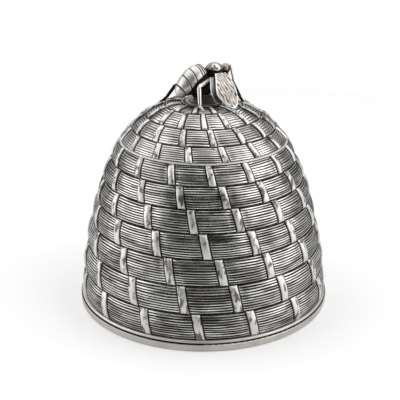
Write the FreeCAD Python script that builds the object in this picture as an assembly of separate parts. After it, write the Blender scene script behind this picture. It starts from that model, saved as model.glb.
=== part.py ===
import FreeCAD, Part
import math
import os

# Honey pot in the form of a coiled straw hive, with a hinged lid and a bee on top.
# Millimetres and degrees. Z is up from the table, the front faces -Y and the hinge is at +Y.

# Dome: the line that touches every coil from outside is a superellipse of radius and height
dome_radius = 54.7
dome_height = 89.2
dome_shoulder = 3.16
dome_fullness = 1.51
wall = 0.7
groove_depth = 1.1

# Foot
foot_overhang = 0.3
foot_height = 3.2
foot_width = 4.2
foot_edge = 0.5
wire_height = 1.3
wire_depth = 1.2
base_rise = 1.2
base_thickness = 1.0

# Coils and the straps that bind them, which are wider where the coil's radius is larger
body_coils = 7
coil_thinning = 0.78
lid_coil_shares = (0.23, 0.26, 0.29, 0.22)
crown_radius = 9.5
crown_seat = 0.8
strap_count = 15
crown_strap_count = 12
strap_width = 0.9
strap_width_growth = 0.0465
strap_slant = 2.4
strap_height = 0.4
strap_root = 0.4
strap_end = 0.05
strap_step = -6.9
body_strap_start = -2.5
lid_strap_start = -58.5
crown_strap_start = -14.4

# Seam, mouth and glass liner
seam_height = 72.2
seam_gap = 0.15
rim_height = 0.75
rim_inset = 0.45
rim_setback = 0.5
mouth_land = 1.5
mouth_depth = 3.0
mouth_ring_wall = 1.0
bezel_height = 0.55
bezel_clearance = 0.35
liner_clearance = 0.4
liner_taper = 1.2
liner_wall = 2.2
liner_floor = 3.5
liner_drop = 1.0

# Hinge at the back
hinge_width = 20.0
knuckle_count = 5
knuckle_radius = 1.6
knuckle_gap = 0.15
pin_radius = 0.8
pin_clearance = 0.05
pin_head_radius = 1.3
pin_head_height = 0.6
leaf_thickness = 1.0
leaf_gap = 0.25
hinge_standoff = 0.7
hinge_clearance = 0.35
lid_opening = 100.0
stop_reach = 2.6
stop_gap = 0.1
stop_thickness = 1.2

# Bee: forward, left and up from the top of the dome
bee_heading = 28.0
thorax_length = 8.2
thorax_width = 6.6
thorax_forward = 4.9
thorax_up = 12.0
head_radius = 2.4
head_forward = 10.7
head_up = 12.1
neck_forward = 8.6
abdomen_radius = 4.6
abdomen_segments = 5
abdomen_bulge = 0.3
abdomen_fullness = 0.55
waist_radius = 2.2
waist_flare = 4
waist_place = (1.0, 12.7)
tail_place = (-13.4, 4.3)
forewing_length = 17.4
forewing_width = 7.3
forewing_sweep = 1.4
forewing_root = (0.24, -0.76, -0.09)
hindwing_length = 13.4
hindwing_width = 5.4
hindwing_sweep = -2.0
hindwing_root = (-0.30, -0.62, -0.62)
wing_root_share = 0.6
wing_shoulder_share = 0.72
wing_shoulder_place = 0.86
wing_thickness = 0.6
wing_bend_radius = 26.0
wing_lid_gap = 0.3
leg_radii = (0.72, 0.85, 0.7, 0.5)
knee_swell = 1.06
leg_sink = 0.6
hip_side = 1.0
hip_drop = 2.7
antenna_radii = (0.35, 0.4, 0.3)
antenna_elbow = (3.1, 1.7, 1.8)
antenna_tip = (3.8, 2.5, -4.0)

Vec = FreeCAD.Vector
ORIGIN = Vec(0, 0, 0)
UP = Vec(0, 0, 1)
CURVE_SAMPLES = 400
WALL_ARCS = 3
HALVINGS = 40


def crest_radius(z):
    """Radius of the dome's outer line at height z."""
    return dome_radius * (1 - (z / dome_height) ** dome_fullness) ** (1 / dome_shoulder)


def crest_height(r):
    """Height of the dome's outer line at radius r."""
    return dome_height * (1 - (r / dome_radius) ** dome_shoulder) ** (1 / dome_fullness)


def crest_normal(r, z):
    """Outward direction (r, z) of the dome's outer line."""
    across = dome_shoulder * (r / dome_radius) ** (dome_shoulder - 1) / dome_radius
    along = dome_fullness * (z / dome_height) ** (dome_fullness - 1) / dome_height
    size = math.hypot(across, along)
    return across / size, along / size


def sunk(point, depth):
    """Point of the dome's outer line moved inward by depth."""
    across, along = crest_normal(*point)
    return point[0] - depth * across, point[1] - depth * along


def inner_radius(z):
    """Radius of the smooth inside of the wall at height z."""
    across, along = crest_normal(crest_radius(z), z)
    return crest_radius(z) - (groove_depth + wall) / across


def profile_face(start, *steps):
    """Face in the XZ plane; a step is the end of a line, or the middle and the end of an arc."""
    edges = []
    here = Vec(start[0], 0, start[1])
    for step in steps + (start,):
        if isinstance(step[0], tuple):
            middle = Vec(step[0][0], 0, step[0][1])
            there = Vec(step[1][0], 0, step[1][1])
            edges.append(Part.Arc(here, middle, there).toShape())
        else:
            there = Vec(step[0], 0, step[1])
            edges.append(Part.LineSegment(here, there).toShape())
        here = there
    return Part.Face(Part.Wire(edges))


def turned(start, *steps):
    """Solid of revolution about the pot's axis."""
    return profile_face(start, *steps).revolve(ORIGIN, UP, 360)


def ring(inner, outer, low, high):
    """Plain ring of rectangular section."""
    return turned((inner, low), (outer, low), (outer, high), (inner, high))


def arcs_through(points):
    """Steps of three-point arcs through an odd number of points, without the first point."""
    return [(points[i], points[i + 1]) for i in range(1, len(points) - 1, 2)]


# Heights and radii that several pieces share
foot_radius = dome_radius + foot_overhang
foot_inner_radius = foot_radius - foot_width
wire_top = foot_height + wire_height
wall_foot_radius = crest_radius(wire_top) - groove_depth
mouth_radius = crest_radius(seam_height) - groove_depth - mouth_land
mouth_inner_radius = mouth_radius - mouth_ring_wall
rim_outer_radius = crest_radius(seam_height) - rim_inset
rim_inner_radius = mouth_radius + bezel_clearance
rim_top = seam_height + rim_height
base_top = base_rise + base_thickness
crown_floor = crest_height(crown_radius) - crown_seat
hinge_y = rim_outer_radius + hinge_standoff + knuckle_radius
pin_bore_radius = pin_radius + pin_clearance
hinge_sector = math.degrees(math.asin(hinge_width / 2 / hinge_y))


def body_coil_points():
    """Groove, crest, groove, ... of the body's coils from the foot wire to the seam."""
    mean = (seam_height - foot_height) / body_coils
    levels = [foot_height]
    for i in range(body_coils):
        levels.append(levels[-1] + mean + coil_thinning * ((body_coils - 1) / 2 - i))
    levels[0] = wire_top
    points = [(wall_foot_radius, wire_top)]
    for low, high in zip(levels, levels[1:]):
        middle = (low + high) / 2
        points.append((crest_radius(middle), middle))
        points.append((crest_radius(high) - groove_depth, high))
    return points


def lid_coil_points():
    """Groove, crest, groove, ... of the lid's coils from its rim to the crown disc."""
    start = math.asin((rim_top / dome_height) ** (dome_fullness / 2))
    end = math.acos((crown_radius / dome_radius) ** (dome_shoulder / 2))
    line = []
    for i in range(CURVE_SAMPLES + 1):
        turn = start + (end - start) * i / CURVE_SAMPLES
        r = dome_radius * math.cos(turn) ** (2 / dome_shoulder)
        line.append((r, dome_height * math.sin(turn) ** (2 / dome_fullness)))
    lengths = [0.0]
    for a, b in zip(line, line[1:]):
        lengths.append(lengths[-1] + math.dist(a, b))

    def at(share):
        target = share * lengths[-1]
        return min(zip(lengths, line), key=lambda pair: abs(pair[0] - target))[1]

    points = [(line[0][0] - rim_setback, rim_top)]
    done = 0.0
    for share in lid_coil_shares:
        points.append(at(done + share / 2))
        done += share
        points.append(sunk(at(done), groove_depth))
    points[-1] = (crown_radius, crown_floor)
    return points


def lid_inner_points():
    """Points down the smooth inside of the lid, from its flat ceiling to the top of the rim."""
    across, along = crest_normal(crest_radius(rim_top), rim_top)
    edge = (crest_radius(rim_top) - (groove_depth + wall) / across, rim_top)
    ceiling = crown_radius / 2
    points = []
    for i in range(2 * WALL_ARCS):
        r = ceiling + (edge[0] - ceiling) * math.sin(math.pi / 2 * i / (2 * WALL_ARCS))
        points.append(sunk((r, crest_height(r)), groove_depth + wall))
    points.append(edge)
    return points


def strap(low, crest, high, width, slant, thickness, root):
    """Band over one coil, in the XZ plane's direction, concentric with the coil's arc."""
    ends = [Vec(r, 0, z) for r, z in (low, crest, high)]
    arc = Part.Arc(*ends).toShape()
    first, last = arc.FirstParameter, arc.LastParameter
    margin = (last - first) * strap_end

    def outward(parameter):
        return (arc.valueAt(parameter) - arc.Curve.Center).normalize()

    def at(parameter, offset):
        moved = arc.valueAt(parameter) + outward(parameter) * offset
        return moved.x, moved.z

    span = (first + margin, (first + last) / 2, last - margin)
    outer = [at(p, thickness) for p in span]
    inner = [at(p, -root) for p in reversed(span)]
    face = profile_face(outer[0], (outer[1], outer[2]), inner[0], (inner[1], inner[2]))
    band = face.revolve(ORIGIN, UP, width)
    band.rotate(ORIGIN, UP, -width / 2)
    if slant:
        run = crest[0] * math.radians(slant)
        tilt = math.degrees(math.atan2(run, math.dist(low, high)))
        band.rotate(Vec(crest[0], 0, crest[1]), outward((first + last) / 2), tilt)
    return band


def straps(points, starts, counts, hinged_coil, stack):
    """All straps of a stack of coils between two heights, leaving room for the hinge leaf on its coil."""
    bands = []
    room = Part.makeCylinder(foot_radius, stack[1] - stack[0], Vec(0, 0, stack[0]))
    for coil, (start, count) in enumerate(zip(starts, counts)):
        low, crest, high = points[2 * coil:2 * coil + 3]
        angle = math.degrees(strap_width / crest[0] + strap_width_growth)
        pattern = strap(low, crest, high, angle, strap_slant, strap_height, strap_root).common(room)
        for i in range(count):
            azimuth = start + 360 / count * i
            from_back = abs((azimuth % 360) - 180)
            if coil == hinged_coil and from_back < hinge_sector + angle:
                continue
            band = pattern.copy()
            band.rotate(ORIGIN, UP, azimuth - 90)
            bands.append(band)
    return bands


def make_foot_ring():
    """Plain band with rounded outer edges."""
    inset = foot_edge * (1 - math.sqrt(0.5))
    return turned(
        (foot_inner_radius, 0),
        (foot_radius - foot_edge, 0),
        ((foot_radius - inset, inset), (foot_radius, foot_edge)),
        (foot_radius, foot_height - foot_edge),
        ((foot_radius - inset, foot_height - inset), (foot_radius - foot_edge, foot_height)),
        (foot_inner_radius, foot_height),
    )


def make_base_plate():
    plate = Part.makeCylinder(foot_inner_radius, base_thickness)
    plate.translate(Vec(0, 0, base_rise))
    return plate


def make_foot_wire():
    shoulder = wall_foot_radius + wire_depth / 2
    middle = (wall_foot_radius + wire_depth, (foot_height + wire_top) / 2)
    return turned(
        (wall_foot_radius, foot_height),
        (shoulder, foot_height),
        (middle, (shoulder, wire_top)),
        (wall_foot_radius, wire_top),
    )


def body_core():
    """The body's coils as a filled solid, which shapes what lies on them."""
    points = body_coil_points()
    return turned((0, foot_height), (wall_foot_radius, foot_height), points[0],
                  *arcs_through(points), (0, seam_height))


def make_body_shell():
    outside = body_coil_points()
    lip_bottom = seam_height - mouth_depth
    inside = []
    for i in range(2 * WALL_ARCS + 1):
        z = lip_bottom + (foot_height - lip_bottom) * i / (2 * WALL_ARCS)
        inside.append((inner_radius(z), z))
    shell = turned(
        (wall_foot_radius, foot_height),
        outside[0],
        *arcs_through(outside),
        (mouth_radius, seam_height),
        (mouth_radius, lip_bottom),
        inside[0],
        *arcs_through(inside),
    )
    starts = [body_strap_start + strap_step * i for i in range(body_coils)]
    counts = [strap_count] * body_coils
    return shell.fuse(straps(outside, starts, counts, body_coils - 1, (wire_top, seam_height)))


def make_mouth_ring():
    return ring(mouth_inner_radius, mouth_radius, seam_height - mouth_depth, seam_height + bezel_height)


def make_glass_liner():
    top = seam_height - liner_drop
    outer = mouth_inner_radius - liner_clearance
    foot = outer - liner_taper
    floor = base_top + liner_floor
    inner = foot - liner_wall
    inset = liner_wall * (1 - math.sqrt(0.5))
    return turned(
        (0, base_top),
        (foot, base_top),
        (outer, top - liner_wall / 2),
        ((outer - liner_wall / 2, top), (outer - liner_wall, top - liner_wall / 2)),
        (inner, floor + liner_wall),
        ((inner - inset, floor + inset), (inner - liner_wall, floor)),
        (0, floor),
    )


def make_lid_rim():
    return ring(rim_inner_radius, rim_outer_radius, seam_height + seam_gap, rim_top)


def lid_core():
    """The lid's rim and coils as a filled solid, which shapes what lies on them."""
    points = lid_coil_points()
    return turned((0, seam_height), (rim_outer_radius, seam_height), (rim_outer_radius, rim_top),
                  points[0], *arcs_through(points), (0, crown_floor))


def make_lid_shell():
    outside = lid_coil_points()
    inside = lid_inner_points()
    shell = turned(
        outside[0],
        *arcs_through(outside),
        (0, crown_floor),
        (0, inside[0][1]),
        inside[0],
        *arcs_through(inside),
    )
    plain = len(lid_coil_shares) - 1
    starts = [lid_strap_start + strap_step * i for i in range(plain)] + [crown_strap_start]
    counts = [strap_count] * plain + [crown_strap_count]
    return shell.fuse(straps(outside, starts, counts, 0, (rim_top, dome_height + strap_height)))


def make_crown_disc():
    """Low round cap in the middle of the lid, under the bee."""
    edge = (crown_floor + dome_height) / 2
    rise = dome_height - edge
    cap_radius = (crown_radius ** 2 + rise ** 2) / (2 * rise)
    half = crown_radius / 2
    bulge = (half, dome_height - cap_radius + math.sqrt(cap_radius ** 2 - half ** 2))
    return turned((0, crown_floor), (crown_radius, crown_floor), (crown_radius, edge),
                  (bulge, (0, dome_height)))


def knuckle_spans(lid):
    """Ranges along X of the lid's or the body's knuckles, which alternate."""
    length = (hinge_width - knuckle_gap * (knuckle_count - 1)) / knuckle_count
    spans = []
    for i in range(knuckle_count):
        if (i % 2 == 1) == lid:
            low = -hinge_width / 2 + i * (length + knuckle_gap)
            spans.append((low, low + length))
    return spans


def hinge_rod(radius, low, high):
    """Cylinder on the hinge axis between two places along X."""
    return Part.makeCylinder(radius, high - low, Vec(low, hinge_y, seam_height), Vec(1, 0, 0))


def hinge_prism(points, low, high):
    """Prism along X from points (y, z) measured from the hinge axis."""
    corners = [Vec(low, hinge_y + y, seam_height + z) for y, z in points]
    return Part.Face(Part.makePolygon(corners + corners[:1])).extrude(Vec(high - low, 0, 0))


def room_for(lid):
    """Running room round the lid's or the body's knuckles."""
    rods = []
    for low, high in knuckle_spans(lid):
        rods.append(hinge_rod(knuckle_radius + hinge_clearance, low - knuckle_gap, high + knuckle_gap))
    return rods


def make_knuckles(lid):
    tubes = []
    for low, high in knuckle_spans(lid):
        tubes.append(hinge_rod(knuckle_radius, low, high).cut(hinge_rod(pin_bore_radius, low, high)))
    return Part.makeCompound(tubes)


def make_hinge_pin():
    half = hinge_width / 2
    pin = hinge_rod(pin_radius, -half - pin_head_height, half + pin_head_height)
    heads = [
        hinge_rod(pin_head_radius, -half - pin_head_height, -half),
        hinge_rod(pin_head_radius, half, half + pin_head_height),
    ]
    return pin.fuse(heads)


def leaf_plate(points, coil):
    """Curved plate of a hinge leaf on one coil, at the back of the pot."""
    low, crest, high = points[2 * coil:2 * coil + 3]
    plate = strap(low, crest, high, 2 * hinge_sector, 0, leaf_thickness, strap_root)
    plate.rotate(ORIGIN, UP, 90)
    return plate


def leaf_reach():
    """Length of the necks that run from the knuckles into the leaf's plate."""
    return hinge_y - mouth_radius


def make_hinge_leaf_body():
    reach = leaf_reach()
    half = hinge_width / 2
    shelf_top = -(knuckle_radius + hinge_clearance)
    shelf = [(-reach, shelf_top), (stop_reach, shelf_top),
             (stop_reach, shelf_top - stop_thickness), (-reach, shelf_top - stop_thickness)]
    solids = [hinge_prism(shelf, -half, half)]
    neck = [(-reach, -leaf_gap), (0, -leaf_gap), (0, shelf_top), (-reach, shelf_top)]
    for low, high in knuckle_spans(False):
        solids.append(hinge_prism(neck, low, high))
        solids.append(hinge_rod(knuckle_radius, low, high))
    leaf = leaf_plate(body_coil_points(), body_coils - 1).fuse(solids)
    above = [(-reach * 2, -leaf_gap), (0, -leaf_gap), (0, reach), (-reach * 2, reach)]
    own = [hinge_rod(knuckle_radius, low, high) for low, high in knuckle_spans(False)]
    return leaf.cut([body_core(), hinge_prism(above, -hinge_width, hinge_width)] + own + room_for(True))


def make_hinge_leaf_lid():
    reach = leaf_reach()
    turn = math.radians(lid_opening)
    heel_depth = knuckle_radius + hinge_clearance - stop_gap

    def closed(y, z):
        return y * math.cos(turn) - z * math.sin(turn), y * math.sin(turn) + z * math.cos(turn)

    heel = [closed(0, 0), closed(0, -heel_depth), closed(stop_reach, -heel_depth), closed(stop_reach, 0)]
    neck_top = heel[3][1]
    neck = [(-reach, leaf_gap), (0, leaf_gap), (0, neck_top), (-reach, neck_top)]
    solids = []
    for low, high in knuckle_spans(True):
        solids.append(hinge_prism(neck, low, high))
        solids.append(hinge_prism(heel, low, high))
    leaf = leaf_plate(lid_coil_points(), 0).fuse(solids)
    below = [(-reach * 2, leaf_gap), (0, leaf_gap), (0, -reach), (-reach * 2, -reach)]
    own = [hinge_rod(knuckle_radius, low, high) for low, high in knuckle_spans(True)]
    return leaf.cut([lid_core(), hinge_prism(below, -hinge_width, hinge_width)] + own + room_for(False))


def make_thorax():
    """Oval ball, longest along the bee's forward direction."""
    ellipse = Part.Ellipse(ORIGIN, thorax_length / 2, thorax_width / 2)
    half = Part.ArcOfEllipse(ellipse, 0, math.pi).toShape()
    axis = Part.LineSegment(Vec(-thorax_length / 2, 0, 0), Vec(thorax_length / 2, 0, 0)).toShape()
    body = Part.Face(Part.Wire([half, axis])).revolve(ORIGIN, Vec(1, 0, 0), 360)
    body.translate(Vec(thorax_forward, 0, thorax_up))
    return body


def make_head():
    head = Part.makeSphere(head_radius)
    head.translate(Vec(head_forward, 0, head_up))
    return head


def neck_cutter(front):
    """Block on one side of the flat seat where the head meets the thorax."""
    size = thorax_length + head_radius
    start = neck_forward if front else neck_forward - size
    return Part.makeBox(size, 2 * size, 2 * size, Vec(start, -size, thorax_up - size))


def make_abdomen():
    """Egg of rounded rings, from the tail to the waist."""
    run = (waist_place[0] - tail_place[0], waist_place[1] - tail_place[1])
    length = math.hypot(*run)

    def radius(share):
        swell = math.sin(math.pi * share) ** abdomen_fullness
        return waist_radius * share ** waist_flare + abdomen_radius * swell

    points = [(0.0, 0.0)]
    for i in range(1, 2 * abdomen_segments):
        share = i / (2 * abdomen_segments)
        sink = abdomen_bulge if i % 2 == 0 else 0
        points.append((radius(share) - sink, share * length))
    points.append((waist_radius, length))
    face = profile_face(points[0], *arcs_through(points), (0, length))
    body = face.revolve(ORIGIN, UP, 360)
    body.rotate(ORIGIN, Vec(0, 1, 0), math.degrees(math.atan2(run[0], run[1])))
    body.translate(Vec(tail_place[0], 0, tail_place[1]))
    return body


def surface_up(forward, left):
    """Height of the lid's outer line at a place, measured from the top of the dome."""
    return crest_height(math.hypot(forward, left)) - dome_height


def make_wing(length, width, root, tip):
    """Curved leaf from its root on the thorax to its tip just over the lid, on the bee's right."""
    root_half = width / 2 * wing_root_share
    shoulder_half = width / 2 * wing_shoulder_share
    shoulder = length * wing_shoulder_place
    root_corners = [Vec(0, side * root_half, 0) for side in (-1, 1)]
    middles = [Vec(length / 2, side * width / 2, 0) for side in (-1, 1)]
    shoulders = [Vec(shoulder, side * shoulder_half, 0) for side in (-1, 1)]
    outline = [
        Part.Arc(root_corners[0], middles[0], shoulders[0]).toShape(),
        Part.Arc(shoulders[0], Vec(length, 0, 0), shoulders[1]).toShape(),
        Part.Arc(shoulders[1], middles[1], root_corners[1]).toShape(),
        Part.LineSegment(root_corners[1], root_corners[0]).toShape(),
    ]
    blank = Part.Face(Part.Wire(outline)).extrude(Vec(0, 0, wing_bend_radius))
    sag = wing_bend_radius - math.sqrt(wing_bend_radius ** 2 - (length / 2) ** 2)
    blank.translate(Vec(0, 0, -sag))
    axis_at = Vec(length / 2, -width, sag - wing_bend_radius)
    across = Vec(0, 1, 0)
    outer = Part.makeCylinder(wing_bend_radius + wing_thickness / 2, 2 * width, axis_at, across)
    inner = Part.makeCylinder(wing_bend_radius - wing_thickness / 2, 2 * width, axis_at, across)
    leaf = blank.common(outer.cut(inner))
    along = (Vec(*tip) - Vec(*root)).normalize()
    forward = Vec(1, 0, 0)
    side = (forward - along * along.dot(forward)).normalize()
    over = along.cross(side)
    matrix = FreeCAD.Matrix(
        along.x, side.x, over.x, root[0],
        along.y, side.y, over.y, root[1],
        along.z, side.z, over.z, root[2],
        0, 0, 0, 1,
    )
    return leaf.transformed(matrix)


def wing_tip(root, forward, length):
    """Place on the bee's right where a wing of this length comes down to the lid."""
    low, high = 0.0, length
    for _ in range(HALVINGS):
        left = -(low + high) / 2
        up = surface_up(forward, root[1] + left) + wing_lid_gap + wing_thickness
        if math.dist(root, (forward, root[1] + left, up)) < length:
            low = -left
        else:
            high = -left
    return forward, root[1] + left, up


def limb(points, radii):
    """Limb of straight tapered joints with round knees."""
    points = [Vec(*p) for p in points]
    rods = []
    for a, b, radius_a, radius_b in zip(points, points[1:], radii, radii[1:]):
        length = (b - a).Length
        rod = turned((0, 0), (radius_a, 0), (radius_b, length), (0, length))
        rod.Placement = FreeCAD.Placement(a, FreeCAD.Rotation(UP, b - a))
        rods.append(rod)
    knees = [Part.makeSphere(radius * knee_swell, p) for p, radius in zip(points[1:-1], radii[1:-1])]
    return rods[0].fuse(rods[1:] + knees).removeSplitter()


def leg(hip_share, knee, ankle_at, toe_at, side):
    """Leg from inside the thorax to a toe sunk into the lid."""
    hip = (thorax_forward + hip_share * thorax_length / 2, side * hip_side, thorax_up - hip_drop)
    ankle = ankle_at + (surface_up(*ankle_at) + leg_radii[2],)
    toe = toe_at + (surface_up(*toe_at) - leg_sink,)
    return limb([hip, knee, ankle, toe], leg_radii)


def antenna(side):
    """Feeler with one elbow, from inside the head forward and down."""
    base = (head_forward + head_radius / 2, side * head_radius / 4, head_up + head_radius / 2)
    elbow = [head_forward, 0, head_up]
    tip = [head_forward, 0, head_up]
    for i in range(3):
        elbow[i] += antenna_elbow[i] * (side if i == 1 else 1)
        tip[i] += antenna_tip[i] * (side if i == 1 else 1)
    return limb([base, elbow, tip], antenna_radii)


def largest(shape):
    """The main solid that is left after a cut."""
    return max(shape.Solids, key=lambda solid: solid.Volume)


def mirrored(shape):
    """The same piece on the bee's left."""
    return shape.mirror(ORIGIN, Vec(0, 1, 0))


def on_lid(shape):
    """A piece of the bee, turned to its heading and set on top of the dome."""
    placed = shape.copy()
    placed.rotate(ORIGIN, UP, bee_heading)
    placed.translate(Vec(0, 0, dome_height))
    return placed


# Hip along the thorax, knee, ankle and toe of each leg, and its side
LEGS = {
    "bee_leg_right_front": (0.35, (10.6, -4.4, 6.4), (15.0, -3.9), (16.6, -4.3), -1),
    "bee_leg_right_middle": (0.0, (3.9, -4.6, 5.2), (4.0, -6.8), (4.8, -8.2), -1),
    "bee_leg_right_hind": (-0.45, (-6.0, -7.2, 7.8), (-6.9, -9.6), (-6.0, -11.5), -1),
    "bee_leg_left_front": (0.35, (10.6, 5.0, 6.4), (14.2, 6.4), (15.8, 7.1), 1),
    "bee_leg_left_middle": (0.0, (3.9, 4.6, 5.2), (4.0, 6.8), (4.8, 8.2), 1),
    "bee_leg_left_hind": (-0.45, (-9.2, 8.0, 5.5), (-10.5, 14.8), (-11.0, 16.4), 1),
}


def wing_root(shares):
    """Place on the thorax by shares of its half sizes forward, left and up."""
    return (thorax_forward + shares[0] * thorax_length / 2, shares[1] * thorax_width / 2,
            thorax_up + shares[2] * thorax_width / 2)


def make_bee(lid_shell, crown_disc):
    """Every piece of the bee, cut so that each one seats on the next."""
    thorax = make_thorax().cut(neck_cutter(True))
    head = make_head().cut(neck_cutter(False))
    abdomen = make_abdomen().cut(thorax)
    fore_root = wing_root(forewing_root)
    hind_root = wing_root(hindwing_root)
    fore_tip = wing_tip(fore_root, fore_root[0] + forewing_sweep, forewing_length)
    hind_tip = wing_tip(hind_root, hind_root[0] + hindwing_sweep, hindwing_length)
    fore = largest(make_wing(forewing_length, forewing_width, fore_root, fore_tip).cut([thorax, head]))
    hind = largest(make_wing(hindwing_length, hindwing_width, hind_root, hind_tip).cut([thorax, fore]))
    pieces = {
        "bee_thorax": thorax,
        "bee_head": head,
        "bee_abdomen": abdomen,
        "bee_forewing_right": fore,
        "bee_forewing_left": mirrored(fore),
        "bee_hindwing_right": hind,
        "bee_hindwing_left": mirrored(hind),
        "bee_antenna_right": largest(antenna(-1).cut(head)),
        "bee_antenna_left": largest(antenna(1).cut(head)),
    }
    placed = {name: on_lid(shape) for name, shape in pieces.items()}
    near = [thorax, abdomen, hind, mirrored(hind)]
    for name, values in LEGS.items():
        seated = on_lid(leg(*values).cut(near))
        placed[name] = largest(seated.cut([lid_shell, crown_disc]))
    return placed


def main():
    body_shell = make_body_shell()
    lid_shell = make_lid_shell()
    crown_disc = make_crown_disc()
    pieces = {
        "foot_ring": make_foot_ring(),
        "base_plate": make_base_plate(),
        "foot_wire": make_foot_wire(),
        "body_shell": body_shell,
        "mouth_ring": make_mouth_ring(),
        "glass_liner": make_glass_liner(),
        "hinge_leaf_body": make_hinge_leaf_body(),
        "hinge_knuckles_body": make_knuckles(False),
        "hinge_pin": make_hinge_pin(),
        "lid_rim": make_lid_rim(),
        "lid_shell": lid_shell,
        "crown_disc": crown_disc,
        "hinge_leaf_lid": make_hinge_leaf_lid(),
        "hinge_knuckles_lid": make_knuckles(True),
    }
    pieces.update(make_bee(lid_shell, crown_disc))
    os.makedirs("parts", exist_ok=True)
    for name, shape in pieces.items():
        shape.exportStep(f"parts/{name}.step")
        print(name, len(shape.Solids), shape.isValid(), round(shape.Volume, 1))


main()
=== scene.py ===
import bpy
import math
import random
from mathutils import Matrix, Vector, noise


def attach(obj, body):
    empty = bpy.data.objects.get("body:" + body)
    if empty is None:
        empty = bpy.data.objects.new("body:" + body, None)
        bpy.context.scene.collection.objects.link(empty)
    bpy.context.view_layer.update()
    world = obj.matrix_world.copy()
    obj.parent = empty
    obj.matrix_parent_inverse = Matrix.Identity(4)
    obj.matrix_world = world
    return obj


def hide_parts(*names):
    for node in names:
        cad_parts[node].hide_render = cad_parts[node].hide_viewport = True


# Honey pot in the form of a coiled straw hive, with a hinged lid and a bee on top.
# Sizes are millimetres in the CAD's frame, and MM turns them into Blender's metres.
# Z is up from the table, the front faces -Y and the hinge is at +Y.
MM = 0.001

# Dome: the line that touches every coil from outside is a superellipse
DOME_RADIUS = 54.7
DOME_HEIGHT = 89.2
DOME_SHOULDER = 3.16
DOME_FULLNESS = 1.51
WALL = 0.7
GROOVE_DEPTH = 1.1

# Heights of the foot, the seam and the crown
FOOT_HEIGHT = 3.2
WIRE_TOP = 4.5
SEAM_HEIGHT = 72.2
RIM_TOP = 72.95
RIM_SETBACK = 0.5
MOUTH_LAND = 1.5
MOUTH_DEPTH = 3.0
CROWN_RADIUS = 9.5
CROWN_SEAT = 0.8
CROWN_DROP = 0.05

# Crown disc: inset, drop and darkness of the rings at its edge, then its cap with one chased ring
CROWN_EDGE_RINGS = ((0.4, 0.0, 0.35), (0.8, 0.0, 0.45), (1.0, 0.25, 0.95), (1.5, 0.25, 0.95))
CROWN_CAP_INSET = 1.7
CROWN_CAP_STEPS = 24
CROWN_RING_SHARE = 0.62
CROWN_RING_WIDTH = 0.5
CROWN_RING_DEPTH = 0.15

# Coils: straws in each coil from the bottom up, and the straps that bind them
BODY_STRAWS = (10, 10, 10, 10, 9, 9, 8)
LID_STRAWS = (7, 7, 7, 6)
COIL_THINNING = 0.78
LID_COIL_SHARES = (0.23, 0.26, 0.29, 0.22)
STRAP_COUNT = 15
CROWN_STRAP_COUNT = 12
STRAP_WIDTH = 0.9
STRAP_WIDTH_GROWTH = 0.0465
STRAP_SLANT = 2.4
STRAP_STEP = -6.9
BODY_STRAP_START = -2.5
LID_STRAP_START = -58.5
CROWN_STRAP_START = -14.4
STRAP_JITTER = 0.35
HINGE_HALF_ANGLE = 19.0

# Relief of the coils' surface, which is chased flatter than the CAD's smooth arcs
BODY_CREST_SINK = 0.2
LID_CREST_SINKS = (0.65, 0.65, 0.55, 0.15)
LID_GROOVE_DEPTHS = (GROOVE_DEPTH, GROOVE_DEPTH, 0.35, GROOVE_DEPTH)
STRAW_ROWS = 4
STRAW_COLUMNS = 8
STRAW_DEPTH = 0.26
STRAW_ROUNDNESS = 0.7
STRAW_WAVER = 0.22
WAVER_ROUND = 0.09
WAVER_UP = 0.5
SWELL_SHARE = 0.22
SWELL_SCALE = 0.16
CALM_EDGE = 1.5
STRAP_RISE = 0.26
STRAP_CROWN = 0.24
STRAP_BEVEL = 0.16
STRAP_FOOT = 0.10
OUTLINE_WIDTH = 0.38
OUTLINE_DEPTH = 0.34
OUTLINE_FADE = 0.30
CINCH_DEPTH = 0.36
CINCH_REACH = 4.0
STRAP_TUCK = 0.07
GROOVE_LINE = 0.24
GROOVE_ROWS = (0.08, 0.55)
FAR_AWAY = 9.0

# Plain rings of the shells, and the seeds of the straps' small offsets
RING_POINTS = 144
INSIDE_STEPS = 12
EDGE_ROUND = 0.15
RING_STEP = 0.05
CAP_DROP = 0.02
SMOOTH_ANGLE = 50.0
BODY_SEED = 5
LID_SEED = 9

# How much oxide is left in the lines: less on the lid and on the body's top coil
BODY_OXIDE = 1.0
TOP_COIL_OXIDE = 0.6
LID_OXIDE = 0.2

# Colours of the silver from bright to black, and of the glass
BRIGHT_SILVER = (0.90, 0.885, 0.86)
STRAP_SILVER = (0.84, 0.825, 0.80)
WIRE_SILVER = (0.74, 0.72, 0.69)
FOOT_SILVER = (0.70, 0.67, 0.64)
WORN_SILVER = (0.55, 0.535, 0.51)
WARM_PATINA = (0.44, 0.40, 0.365)
TARNISH = (0.24, 0.225, 0.21)
STAIN = (0.12, 0.11, 0.10)
OXIDE = (0.006, 0.0055, 0.005)
GLASS_TINT = (0.97, 0.99, 0.98, 1.0)

# Where the oxide's lines start and end: across a straw in shares of it, the rest in mm
LINE_EDGE = (0.165, 0.235)
STRAP_EDGE = (0.08, -0.10)
CHANNEL_MIDDLE = 0.30
CHANNEL_EDGE = (0.36, 0.24)
GROOVE_EDGE = (0.22, 0.10)
JOINT_DARK = 0.12
JOINT_CLEAR = 0.34

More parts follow.
